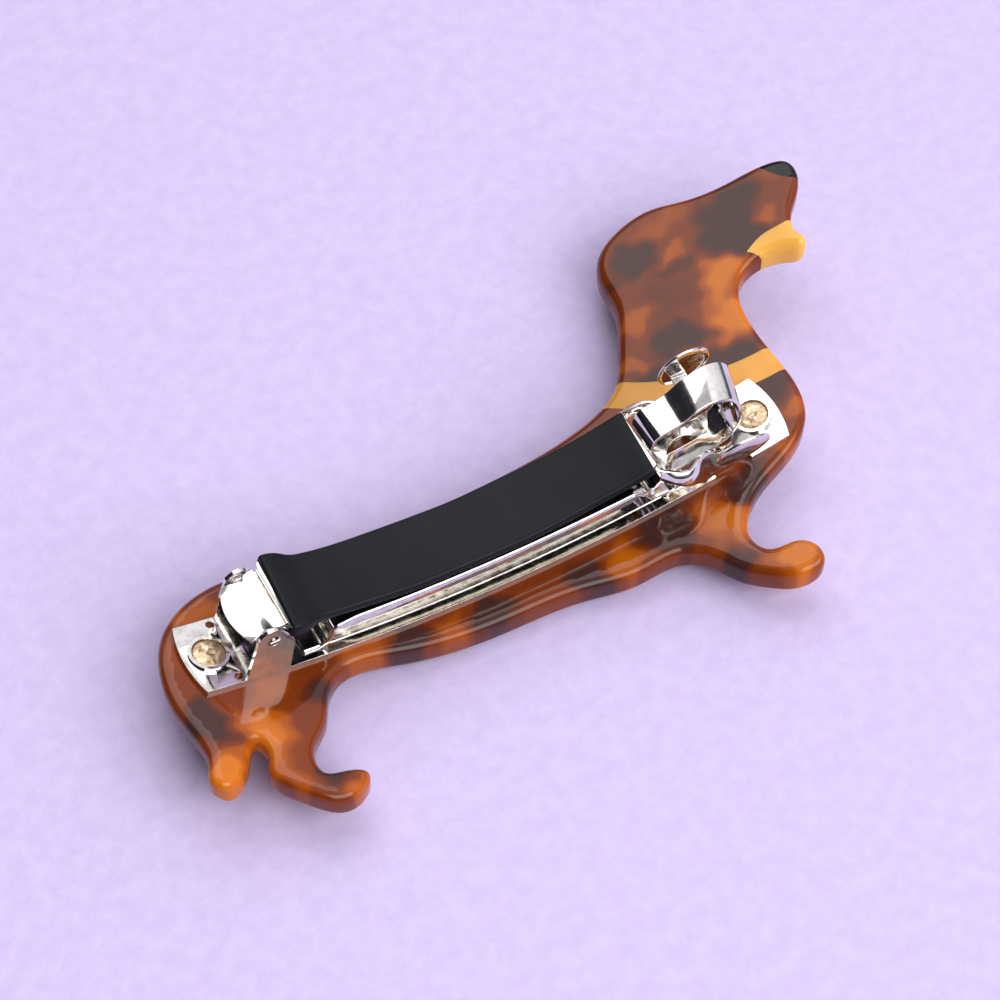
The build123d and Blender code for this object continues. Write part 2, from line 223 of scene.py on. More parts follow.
def ribbon(centre, across, normal, half_width, half_thick, edge):
    """Points and faces of a strip with rounded edges and ends.

    Each ring is a rounded rectangle: its corner centres lie at (half_width - edge, half_thick - edge) and
    its corners are quarter circles. At both ends the quarter circles shrink as edge * sin(angle) while the
    ring moves along by edge * (1 - cos(angle)).
    """
    count = len(centre)
    core_width = np.broadcast_to(half_width, count) - edge
    core_thick = np.broadcast_to(half_thick, count) - edge
    across, normal = (np.broadcast_to(v, (count, 3)) for v in (across, normal))
    angle = np.radians([0.0, 30.0, 60.0])
    first, last = unit(centre[1] - centre[0]), unit(centre[-1] - centre[-2])
    start = centre[0] + first * (edge * (1 - np.cos(angle)))[:, None]
    end = centre[-1] - last * (edge * (1 - np.cos(angle[::-1])))[:, None]
    middle = centre.copy()
    middle[0] += first * edge
    middle[-1] -= last * edge
    centre = np.vstack([start, middle, end])
    corner = np.concatenate([edge * np.sin(angle), np.full(count, edge), edge * np.sin(angle[::-1])])
    core_width, core_thick, across, normal = (
        np.concatenate([v[[0, 0, 0]], v, v[[-1, -1, -1]]]) for v in (core_width, core_thick, across, normal)
    )
    turn, side_sign, face_sign = rounded_corners(4)
    wide = side_sign * core_width[:, None] + corner[:, None] * np.cos(turn)
    thick = face_sign * core_thick[:, None] + corner[:, None] * np.sin(turn)
    rings = centre[:, None] + across[:, None] * wide[..., None] + normal[:, None] * thick[..., None]
    return rings.reshape(-1, 3), capped_faces(len(rings), len(turn))


def side_strip(line, half_width, thick, edge, aside=0.0):
    """A strip across the clip that follows a line of (x, z), its normal square to the line, its y shifted."""
    centre = np.column_stack([line[:, 0], np.broadcast_to(aside, len(line)), line[:, 1]])
    way = unit(np.gradient(line, axis=0))
    normal = np.column_stack([-way[:, 1], np.zeros(len(line)), way[:, 0]])
    return ribbon(centre, np.array([0.0, 1.0, 0.0]), normal, half_width, thick / 2, edge)


def path_along_clip(x, z):
    """The points (x, 0, z) of a path in the clip's middle plane, and its normal in that plane."""
    centre = np.column_stack([x, np.zeros_like(x), z])
    way = unit(np.gradient(centre, axis=0))
    return centre, np.column_stack([-way[:, 2], way[:, 1], way[:, 0]])


def turned(profile, centre, axis, lumps=None, around=48):
    """A profile of (radius, height) turned about an axis. It starts and ends on the axis.

    lumps(radius, angle) adds a height to the points, for a face that isn't perfectly round.
    """
    profile = np.asarray(profile, float)
    axis = unit(np.asarray(axis, float))
    first = unit(np.cross(axis, [0.0, 1.0, 0.3]))
    second = np.cross(axis, first)
    angle = np.linspace(0, 2 * math.pi, around, endpoint=False)
    inner = profile[1:-1]
    radius, height = (np.repeat(inner[:, k][:, None], around, axis=1) for k in (0, 1))
    if lumps:
        height = height + lumps(radius, angle[None, :])
    spoke = np.cos(angle)[:, None] * first + np.sin(angle)[:, None] * second
    rings = centre + radius[..., None] * spoke[None] + height[..., None] * axis
    poles = centre + profile[[0, -1], 1][:, None] * axis
    if lumps:
        poles[-1] += axis * lumps(np.zeros(1), np.zeros(1))[0]
    count = len(inner)
    faces = ring_faces(count, around)
    near, far = count * around, count * around + 1
    step = np.arange(around)
    faces += [[int(a), int(b), near] for a, b in zip(step, (step + 1) % around)]
    offset = (count - 1) * around
    faces += [[int(a) + offset, int(b) + offset, far] for a, b in zip(step, (step + 1) % around)]
    return np.vstack([rings.reshape(-1, 3), poles]), faces


def arc(centre, radius, start, end, count=7):
    """Points of a circle's arc, its angles in degrees."""
    angle = np.radians(np.linspace(start, end, count))
    return np.column_stack([centre[0] + radius * np.cos(angle), centre[1] + radius * np.sin(angle)])


# ---------------------------------------------------------------- finishes
def new_material(name):
    """A material with its Principled shader and a helper that makes and links nodes."""
    material = bpy.data.materials.new(name)
    material.use_nodes = True
    tree = material.node_tree
    shader = tree.nodes["Principled BSDF"]

    def node(kind, inputs=None, **settings):
        made = tree.nodes.new(kind)
        for key, value in settings.items():
            setattr(made, key, value)
        for key, value in (inputs or {}).items():
            if isinstance(value, bpy.types.NodeSocket):
                tree.links.new(value, made.inputs[key])
            else:
                made.inputs[key].default_value = value
        return made

    return material, tree, shader, node


def set_ramp(ramp, stops, smooth=True):
    """Colour stops (position, colour) of a ramp node."""
    elements = ramp.color_ramp.elements
    ramp.color_ramp.interpolation = "EASE" if smooth else "LINEAR"
    while len(elements) < len(stops):
        elements.new(0.5)
    for element, (position, colour) in zip(elements, stops):
        element.position = position
        element.color = (*colour, 1)


def add_bump(tree, shader, node, height, strength, distance):
    """Surface relief from a height socket."""
    bump = node("ShaderNodeBump", {"Height": height, "Strength": strength, "Distance": distance})
    tree.links.new(bump.outputs["Normal"], shader.inputs["Normal"])


def polished_waves(tree, shader, node, place_out, strength=0.25):
    """The slow unevenness of hand-polished sheet: noise 9 mm across, a few hundredths deep."""
    wave = node("ShaderNodeTexNoise", {"Vector": place_out, "Scale": 110.0, "Detail": 1.0, "Roughness": 0.4})
    add_bump(tree, shader, node, wave.outputs["Fac"], strength, 0.0004)


def tortoiseshell():
    """Dark, red-brown, amber and honey by the piece's own shade, its borders broken up by noise."""
    material, tree, shader, node = new_material("tortoiseshell")
    where = node("ShaderNodeTexCoord").outputs["Object"]
    shade = node("ShaderNodeAttribute", attribute_name="shade").outputs["Fac"]
    cloud = node("ShaderNodeTexNoise", {"Vector": where, "Scale": 110.0, "Detail": 1.5, "Roughness": 0.45,
                                        "Distortion": 0.4})
    ragged = node("ShaderNodeMath", {0: cloud.outputs["Fac"], 1: 0.5}, operation="SUBTRACT")
    spread = node("ShaderNodeMath", {0: ragged.outputs[0], 1: 0.14, 2: shade}, operation="MULTIPLY_ADD")
    ramp = node("ShaderNodeValToRGB", {"Fac": spread.outputs[0]})
    set_ramp(ramp, TORTOISE_STOPS)
    tree.links.new(ramp.outputs["Color"], shader.inputs["Base Color"])
    shader.inputs["Roughness"].default_value = 0.06
    shader.inputs["IOR"].default_value = 1.5
    shader.inputs["Specular IOR Level"].default_value = 0.34
    shader.inputs["Subsurface Weight"].default_value = 0.2
    shader.inputs["Subsurface Radius"].default_value = (1.0, 0.3, 0.08)
    shader.inputs["Subsurface Scale"].default_value = 0.0015
    polished_waves(tree, shader, node, where)
    return {"material": material, "slot": "tortoise_acetate"}


TORTOISE_STOPS = [
    (0.10, (0.062, 0.022, 0.018)),
    (0.30, (0.115, 0.024, 0.010)),
    (0.50, (0.200, 0.036, 0.006)),
    (0.72, (0.390, 0.082, 0.004)),
    (0.95, (0.620, 0.165, 0.008)),
]


def coloured_acetate(name, slot, deep, pale, streak=90.0, glow=0.3):
    """One colour of sheet with faint soft clouds between a deep and a pale tone."""
    material, tree, shader, node = new_material(name)
    where = node("ShaderNodeTexCoord").outputs["Object"]
    cloud = node("ShaderNodeTexNoise", {"Vector": where, "Scale": streak, "Detail": 3.0, "Roughness": 0.5})
    ramp = node("ShaderNodeValToRGB", {"Fac": cloud.outputs["Fac"]})
    set_ramp(ramp, [(0.3, deep), (0.7, pale)])
    tree.links.new(ramp.outputs["Color"], shader.inputs["Base Color"])
    shader.inputs["Roughness"].default_value = 0.08
    shader.inputs["IOR"].default_value = 1.5
    shader.inputs["Specular IOR Level"].default_value = 0.34
    shader.inputs["Subsurface Weight"].default_value = glow
    shader.inputs["Subsurface Radius"].default_value = (1.0, 0.5, 0.2)
    shader.inputs["Subsurface Scale"].default_value = 0.0015
    polished_waves(tree, shader, node, where)
    return {"material": material, "slot": slot}


def nickel():
    """Bright plate: a mirror with slow waves and a little tarnish in its tint and roughness."""
    material, tree, shader, node = new_material("nickel_plate")
    where = node("ShaderNodeTexCoord").outputs["Object"]
    tarnish = node("ShaderNodeTexNoise", {"Vector": where, "Scale": 900.0, "Detail": 4.0, "Roughness": 0.6})
    tint = node("ShaderNodeValToRGB", {"Fac": tarnish.outputs["Fac"]})
    set_ramp(tint, [(0.25, (0.66, 0.63, 0.58)), (0.6, (0.86, 0.84, 0.80))])
    tree.links.new(tint.outputs["Color"], shader.inputs["Base Color"])
    dull = node("ShaderNodeMapRange", {"Value": tarnish.outputs["Fac"], "From Min": 0.35, "From Max": 0.75,
                                       "To Min": 0.05, "To Max": 0.16})
    tree.links.new(dull.outputs["Result"], shader.inputs["Roughness"])
    shader.inputs["Metallic"].default_value = 1.0
    wave = node("ShaderNodeTexNoise", {"Vector": where, "Scale": 260.0, "Detail": 1.0, "Roughness": 0.4})
    add_bump(tree, shader, node, wave.outputs["Fac"], 0.13, 0.00012)
    return {"material": material, "slot": "nickel"}


def rivet_brass():
    """Peened pale brass: tan with darker brown hollows and a rough grain."""
    material, tree, shader, node = new_material("peened_brass")
    where = node("ShaderNodeTexCoord").outputs["Object"]
    grain = node("ShaderNodeTexNoise", {"Vector": where, "Scale": 1500.0, "Detail": 4.0, "Roughness": 0.65})
    tint = node("ShaderNodeValToRGB", {"Fac": grain.outputs["Fac"]})
    set_ramp(tint, [(0.30, (0.30, 0.17, 0.09)), (0.47, (0.66, 0.47, 0.29)), (0.70, (0.90, 0.75, 0.55))])
    tree.links.new(tint.outputs["Color"], shader.inputs["Base Color"])
    shader.inputs["Metallic"].default_value = 0.75
    shader.inputs["Roughness"].default_value = 0.32
    add_bump(tree, shader, node, grain.outputs["Fac"], 0.5, 0.00012)
    return {"material": material, "slot": "rivet_brass"}


def silicone():
    """Smooth black rubber, very faintly blue, with a fine grain."""
    material, tree, shader, node = new_material("black_silicone")
    where = node("ShaderNodeTexCoord").outputs["Object"]
    cloud = node("ShaderNodeTexNoise", {"Vector": where, "Scale": 140.0, "Detail": 3.0, "Roughness": 0.5})
    tint = node("ShaderNodeValToRGB", {"Fac": cloud.outputs["Fac"]})
    set_ramp(tint, [(0.3, (0.003, 0.004, 0.006)), (0.7, (0.006, 0.007, 0.010))])
    tree.links.new(tint.outputs["Color"], shader.inputs["Base Color"])
    shader.inputs["Roughness"].default_value = 0.42
    shader.inputs["IOR"].default_value = 1.28
    skin = node("ShaderNodeTexNoise", {"Vector": where, "Scale": 2500.0, "Detail": 2.0, "Roughness": 0.5})
    add_bump(tree, shader, node, skin.outputs["Fac"], 0.12, 0.00005)
    return {"material": material, "slot": "black_silicone"}


def lavender_paper():
    """The floor: pale lavender with a faint felt-like mottle."""
    material, tree, shader, node = new_material("lavender_paper")
    where = node("ShaderNodeTexCoord").outputs["Object"]
    mottle = node("ShaderNodeTexNoise", {"Vector": where, "Scale": 420.0, "Detail": 5.0, "Roughness": 0.65})
    tint = node("ShaderNodeValToRGB", {"Fac": mottle.outputs["Fac"]})
    set_ramp(tint, [(0.3, FLOOR_DEEP), (0.7, FLOOR_PALE)])
    tree.links.new(tint.outputs["Color"], shader.inputs["Base Color"])
    shader.inputs["Roughness"].default_value = 0.9
    add_bump(tree, shader, node, mottle.outputs["Fac"], 0.25, 0.0003)
    return material


FLOOR_DEEP = (0.61, 0.52, 0.80)
FLOOR_PALE = (0.67, 0.575, 0.86)

TORTOISE = tortoiseshell()
HONEY = coloured_acetate("honey_acetate", "honey_acetate", (0.74, 0.32, 0.045), (0.88, 0.41, 0.070))
PALE_HONEY = coloured_acetate("pale_honey_acetate", "honey_acetate", (0.93, 0.46, 0.075), (1.0, 0.54, 0.11))
BLACK = coloured_acetate("black_acetate", "black_acetate", (0.004, 0.004, 0.003), (0.020, 0.018, 0.014),
                         300.0, 0.0)
NICKEL = nickel()
BRASS = rivet_brass()
SILICONE = silicone()

# ---------------------------------------------------------------- the acetate plate
OUTLINE = [
    # rump
    (-12, 9.5), (-24, 10.3), (-31.5, 10.2), (-37.3, 8.1), (-41.2, 4.4), (-43.1, 0.0), (-43.7, -5.0),
    # tail
    (-43.0, -10.0), (-43.2, -13.4), (-44.0, -15.9), (-42.6, -17.5), (-40.0, -16.3),
    (-38.1, -13.7), (-36.8, -12.3),
    # hind leg
    (-36.2, -13.8), (-37.2, -16.9), (-34.7, -21.0), (-31.2, -23.6), (-27.9, -22.8), (-26.6, -20.9),
    (-28.6, -19.7), (-31.2, -19.0), (-31.3, -16.4), (-28.0, -12.6), (-26.2, -9.6), (-23.4, -7.3),
    # belly
    (-15.4, -7.8), (-2.5, -9.2), (8, -9.8), (15, -11.1), (20.6, -11.4),
    # foreleg
    (23.4, -13.6), (25.2, -16.8), (28.0, -19.8), (31.5, -21.9), (34.5, -21.3), (34.8, -18.9), (32.9, -17.0),
    (29.9, -16.3), (28.8, -14.0), (30.6, -10.4), (34.3, -7.9),
    # throat
    (39.4, -5.9), (42.8, -3.0), (44.1, 1.0), (44.1, 7.0), (44.2, 13.6), (45.7, 17.9), (48.6, 19.5),
    # tongue
    (51.0, 19.3), (53.0, 18.3), (54.7, 17.6), (55.5, 18.3), (55.2, 20.0),
    # snout and skull
    (55.9, 22.6), (58.0, 24.8), (59.4, 27.0), (59.3, 29.6), (57.0, 31.1), (51.7, 32.0), (46.4, 33.3),
    (42.0, 34.9), (37.3, 34.6), (33.4, 32.5), (31.8, 29.2),
    # nape and back
    (31.4, 24.9), (28.9, 19.2), (25.4, 14.0), (18.7, 11.2), (6, 10.0),
]
TONGUE_SEAM = [(56.2, 21.9), (54.1, 21.8), (51.3, 22.0), (48.5, 21.1)]
TONGUE_REST = [(50.9, 18.3), (52.0, 15.0), (60.0, 15.0)]
NOSE_SEAM = [(54.6, 33.5), (55.9, 30.6), (57.2, 28.0), (58.2, 26.8), (61.0, 25.4)]
NOSE_REST = [(62.0, 33.5)]
COLLAR_CENTRE = np.array([44.7, 37.7])
COLLAR_RADII = (30.0, 33.9)
COLLAR_REACH = ((21.0, 47.0), (1.0, 17.0))
EDGE_ROUND = 1.3
OUTLINE_STEPS = 720
SEAM_STEPS = 40
CIRCLE_STEPS = 180

# Soft spots of the tortoiseshell: x, y, half length along x, half length along y, how much lighter (+) or
# darker (-) than the red-brown between them
SPOTS = [
    (49.9, 27.9, 4.6, 3.6, -1.1), (48.2, 23.6, 3.6, 2.6, -1.1), (36.2, 28.6, 3.3, 2.5, -1.1),
    (41.1, 25.2, 2.8, 0.9, -0.5), (35.4, 15.2, 3.6, 2.3, -1.1), (39.8, 9.6, 4.2, 1.9, -1.1),
    (29.3, 12.6, 2.2, 1.3, -0.9), (37.6, 21.4, 4.4, 3.6, -0.25), (44.4, 20.2, 3.4, 3.0, 0.95),
    (42.4, 14.2, 3.4, 3.4, 0.95), (32.1, 21.0, 2.6, 1.9, 0.5), (28.7, 15.4, 1.6, 1.3, 0.5),
    (41.4, 27.2, 2.1, 1.2, 0.45), (53.2, 24.4, 1.6, 2.2, 0.5), (55.0, 28.6, 2.2, 2.0, 0.25),
    (43.0, 31.8, 5.5, 1.8, 0.25), (40.6, 3.4, 3.0, 3.2, -1.1), (42.0, -0.9, 1.6, 1.9, 0.6),
    (38.4, -5.2, 2.2, 1.6, 0.35), (32.3, -7.2, 3.2, 2.2, -1.1), (20.9, -7.4, 3.6, 3.2, -1.1),
    (27.2, -10.6, 3.6, 3.6, 0.7), (25.6, -16.6, 3.0, 1.6, -0.9), (32.0, -18.9, 3.4, 3.0, 1.0),
    (14.3, -8.7, 3.2, 2.2, 0.6), (9.6, -8.6, 2.4, 2.6, -1.0), (4.6, -8.6, 2.4, 1.6, 0.1),
    (-3.2, -8.0, 3.4, 2.2, -1.0), (-8.0, -7.2, 2.6, 2.0, 0.35), (-13.7, -7.2, 2.8, 2.0, -1.0),
    (-19.4, -6.4, 3.4, 2.4, 0.5), (-26.4, -8.6, 2.6, 1.8, -0.8), (-35.6, 6.4, 3.6, 2.0, 0.6),
    (-40.5, -8.8, 2.4, 3.4, -1.1), (-41.8, -16.8, 3.0, 3.4, 1.1), (-36.1, -12.6, 3.6, 4.6, 0.75),
    (-31.2, -12.0, 1.6, 2.2, -0.10), (-30.8, -20.6, 2.2, 1.4, -0.8), (-28.4, -21.9, 2.2, 2.0, 0.65),
    (-34.9, -19.4, 1.6, 2.4, 0.3), (-40.6, 0.5, 2.4, 3.6, 0.1), (-31.6, -7.0, 2.6, 1.8, 0.25),
    (10.0, 6.0, 5.0, 4.0, -0.9), (-8.0, 5.0, 5.0, 3.6, 0.5), (-22.0, 5.0, 5.0, 4.0, -0.8),
    (24.0, 6.0, 4.0, 4.0, 0.4),
]
BASE_SHADE = 0.50


def shade_at(x, y):
    """Lightness of the tortoiseshell: each spot adds its amount times exp(-(d*d)**2), d its oval distance.

    The place is first shifted by a few crossed sines, so that no spot is a clean oval.
    """
    wavy_x = x + 0.7 * np.sin(0.75 * y + 1.1) + 0.4 * np.sin(1.9 * y + 0.6 * x)
    wavy_y = y + 0.6 * np.sin(0.65 * x + 0.4) + 0.4 * np.sin(1.7 * x - 0.8 * y)
    shade = np.full(np.shape(x), BASE_SHADE)
    for spot_x, spot_y, long, short, amount in SPOTS:
        oval = ((wavy_x - spot_x) / long) ** 2 + ((wavy_y - spot_y) / short) ** 2
        shade += 0.5 * amount * np.exp(-(oval**2))
    return np.clip(shade, 0, 1)


def edge_distance(points, outline):
    """Distance of each point from the closed outline, by its nearest segment."""
    start, end = outline, np.roll(outline, -1, axis=0)
    way = end - start
    reach = (way**2).sum(axis=1)
    nearest = np.full(len(points), 1e9)
    for block in np.array_split(np.arange(len(points)), max(len(points) // 500, 1)):
        offset = points[block, None] - start
        share = np.clip((offset * way).sum(axis=2) / reach, 0, 1)
        gap = offset - share[..., None] * way
        nearest[block] = np.sqrt((gap**2).sum(axis=2)).min(axis=1)
    return nearest


def inside(points, outline):
    """True where a level line from the point crosses the closed outline an odd number of times."""
    start, end = outline, np.roll(outline, -1, axis=0)
    px, py = points[:, 0][:, None], points[:, 1][:, None]
    spans = (start[:, 1] > py) != (end[:, 1] > py)
    drop = np.where(end[:, 1] == start[:, 1], 1e-12, end[:, 1] - start[:, 1])
    crossing = start[:, 0] + (py - start[:, 1]) * (end[:, 0] - start[:, 0]) / drop
    return ((px < crossing) & spans).sum(axis=1) % 2 == 1


def acetate_plate():
    """The plate's five pieces: one triangulated outline, split at the seams, each piece a closed shell.

    At distance d from the outline, up to EDGE_ROUND, the faces draw in by EDGE_ROUND - sqrt(EDGE_ROUND**2 -
    (EDGE_ROUND - d)**2), a quarter circle. A point (x, y) at depth t below the sheet's upper face has the
    height BAR_RADIUS - sqrt((BAR_RADIUS + BAR_SHEET + t)**2 - x**2), a circle round the bar's own centre.
    """
    outline = smooth_through(OUTLINE, OUTLINE_STEPS, closed=True)
    # Rings just inside the outline, close together where the round is steep, and an even field within
    way = unit(np.roll(outline, -1, axis=0) - np.roll(outline, 1, axis=0))
    inward = np.column_stack([-way[:, 1], way[:, 0]])
    angles = np.radians([12, 26, 42, 60, 80])
    rings = []
    for depth in EDGE_ROUND * (1 - np.cos(angles)):
        ring = outline + inward * depth
        rings.append(ring[edge_distance(ring, outline) > depth * 0.93])
    step = 0.75
    low, high = outline.min(axis=0), outline.max(axis=0)
    grid_x, grid_y = np.meshgrid(np.arange(low[0], high[0], step), np.arange(low[1], high[1], step * 0.866))
    grid_x[1::2] += step / 2
    field = np.column_stack([grid_x.ravel(), grid_y.ravel()])
    field = field[inside(field, outline)]
    field = field[edge_distance(field, outline) > EDGE_ROUND * 1.25]
    tongue = np.vstack([smooth_through(TONGUE_SEAM, SEAM_STEPS), TONGUE_REST])
    nose = np.vstack([smooth_through(NOSE_SEAM, SEAM_STEPS), NOSE_REST])
    angle = np.radians(np.linspace(215, 300, CIRCLE_STEPS))
    circle = [COLLAR_CENTRE + r * np.column_stack([np.cos(angle), np.sin(angle)]) for r in COLLAR_RADII]
    points, lines = [outline, *rings, field], []
    total = sum(len(p) for p in points)
    count = len(outline)
    lines += [(i, (i + 1) % count) for i in range(count)]
    throat_seam = np.linspace(tongue[SEAM_STEPS - 1], tongue[SEAM_STEPS], 12)
    for seam in (tongue[:SEAM_STEPS], throat_seam, nose[:SEAM_STEPS], *circle):
        points.append(seam)
        lines += [(total + i, total + i + 1) for i in range(len(seam) - 1)]
        total += len(seam)
    flat = [Vector(p) for p in np.vstack(points)]
    spots, _, triangles, *_ = geometry.delaunay_2d_cdt(flat, lines, [list(range(count))], 1, 1e-7)
    plan = np.array([tuple(p) for p in spots])
    triangles = np.array(triangles)
    middle = plan[triangles].mean(axis=1)
    triangles = triangles[inside(middle, outline)]
    middle = plan[triangles].mean(axis=1)
    from_collar = np.linalg.norm(middle - COLLAR_CENTRE, axis=1)
    (left, right), (near, far) = COLLAR_REACH
    in_reach = (middle[:, 0] > left) & (middle[:, 0] < right) & (middle[:, 1] > near) & (middle[:, 1] < far)
    owner = np.where(from_collar < COLLAR_RADII[0], 1, 0)
    owner[in_reach & (from_collar >= COLLAR_RADII[0]) & (from_collar < COLLAR_RADII[1])] = 2
    owner[inside(middle, tongue)] = 3
    owner[inside(middle, nose)] = 4

    depth_in = np.clip(edge_distance(plan, outline), 0, EDGE_ROUND)
    drawn_in = EDGE_ROUND - np.sqrt(np.clip(EDGE_ROUND**2 - (EDGE_ROUND - depth_in) ** 2, 0, None))
    parts = [("dog_body", TORTOISE), ("dog_head", TORTOISE), ("collar_band", HONEY),
             ("tongue_inlay", PALE_HONEY), ("nose_tip", BLACK)]
    for index, (node_name, finish) in enumerate(parts):
        own = triangles[owner == index]
        used, local = np.unique(own, return_inverse=True)
        local = local.reshape(own.shape)
        x, y = plan[used].T
        levels = np.stack([drawn_in[used], PLATE_THICK - drawn_in[used]])
        radius = BAR_RADIUS + BAR_SHEET + levels
        z = BAR_RADIUS - np.sqrt(radius**2 - x**2)
        shell = np.column_stack([np.tile(x, 2), np.tile(y, 2), z.ravel()])
        size = len(used)
        # An edge that only one triangle has is on the piece's border, and gets a wall
        edges = np.concatenate([local[:, [0, 1]], local[:, [1, 2]], local[:, [2, 0]]])
        code = np.sort(edges, axis=1)
        _, where, times = np.unique(code[:, 0] * size + code[:, 1], return_index=True, return_counts=True)
        border = edges[where[times == 1]]
        walls = np.column_stack([border, border[:, ::-1] + size])
        faces = local.tolist() + (local[:, ::-1] + size).tolist() + walls.tolist()
        made = make_piece(node_name + "_sheet", shell, faces, finish, frame_body(node_name), 50,
                          np.tile(shade_at(x, y), 2))
        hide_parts(node_name)


def frame_body(node_name):
    """The body that a CAD node rides on."""
    return frame["nodes"][node_name]["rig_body"]


# ---------------------------------------------------------------- copies of CAD nodes with softened edges
def softened_copy(node_name, finish, width=0.09):
    """A copy of a CAD node with its points merged, its flat faces joined and its sharp edges rounded."""
    mesh = frame["nodes"][node_name].data.copy()
    shell = bmesh.new()
    shell.from_mesh(mesh)
    bmesh.ops.remove_doubles(shell, verts=shell.verts, dist=2e-6)
    bmesh.ops.dissolve_limit(shell, angle_limit=math.radians(1.0), verts=shell.verts, edges=shell.edges)
    shell.to_mesh(mesh)
    shell.free()
    made = bpy.data.objects.new(node_name + "_plated", mesh)
    bpy.context.scene.collection.objects.link(made)
    mesh.materials.clear()
    mesh.materials.append(finish["material"])
    mesh.shade_smooth()
    mesh.set_sharp_from_angle(angle=math.radians(35))
    soften(made, width)
    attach(made, frame_body(node_name))
    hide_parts(node_name)


# ---------------------------------------------------------------- rivets
RIVET_X = 36.9
RIVET_RADIUS = 1.98
SHANK_DEPTH = 2.8


def rivet(node_name, x, seed):
    """A peened head: a low dome with a lumpy face and a small off-centre hollow, on its shank."""
    tilt = math.asin(x / BAR_RADIUS)
    axis = np.array([-math.sin(tilt), 0, math.cos(tilt)])
    centre = np.array([x, 0, float(rise(x))])
    head = [(0, -SHANK_DEPTH), (1.0, -SHANK_DEPTH), (1.0, 0.0), (RIVET_RADIUS, 0.0)]
    dome_radius = np.linspace(1.0, 0, 15)
    dome = np.column_stack([RIVET_RADIUS * dome_radius, 0.24 + 0.30 * (1 - dome_radius**2) ** 0.7])
    profile = np.vstack([head, [(2.02, 0.12)], dome])

    def lumps(radius, angle):
        """Sines that fade at the rim, less an oval hollow 0.22 mm deep beside the middle."""
        px, py = radius * np.cos(angle), radius * np.sin(angle)
        fade = np.clip(1 - (radius / 1.95) ** 4, 0, 1) * (radius < 1.97)
        waves = 0.05 * np.sin(3.1 * px + seed) * np.cos(2.7 * py - seed) + 0.03 * np.sin(6.3 * px * py + seed)
        hollow = 0.22 * np.exp(-(((px + 0.15) / 0.42) ** 2 + ((py - 0.1) / 0.26) ** 2))
        return (waves - hollow) * fade

    points, faces = turned(profile, centre, axis, lumps)
    made = make_piece(node_name + "_head", points, faces, BRASS, frame_body(node_name), 60)
    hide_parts(node_name)


# ---------------------------------------------------------------- the arm
ARM_RADIUS = 88.0
ARM_X = -2.0
ARM_HEIGHT = 6.5
ARM_LEFT, ARM_RIGHT = -28.3, 20.8
PIVOT = (-30.4, 6.3)
LOOP_HALF = 2.32
# The loop's lower run: its half width, the height above the bar that it ends at, and its lean to the belly
LOWER_RUN_HALF = 1.05
LOWER_RUN_TOP = 4.4
LOWER_RUN_LEAN = 0.28
# How far the loop's back edge stands up and out, per millimetre of y
LOOP_BACK_UP = 0.30
LOOP_BACK_OUT = 0.22


def arm_z(x):
    """Height of the arm's middle line: a circle of ARM_RADIUS whose lowest point is at (ARM_X, ARM_HEIGHT)."""
    return ARM_HEIGHT + ARM_RADIUS - np.sqrt(ARM_RADIUS**2 - (np.asarray(x, float) - ARM_X) ** 2)


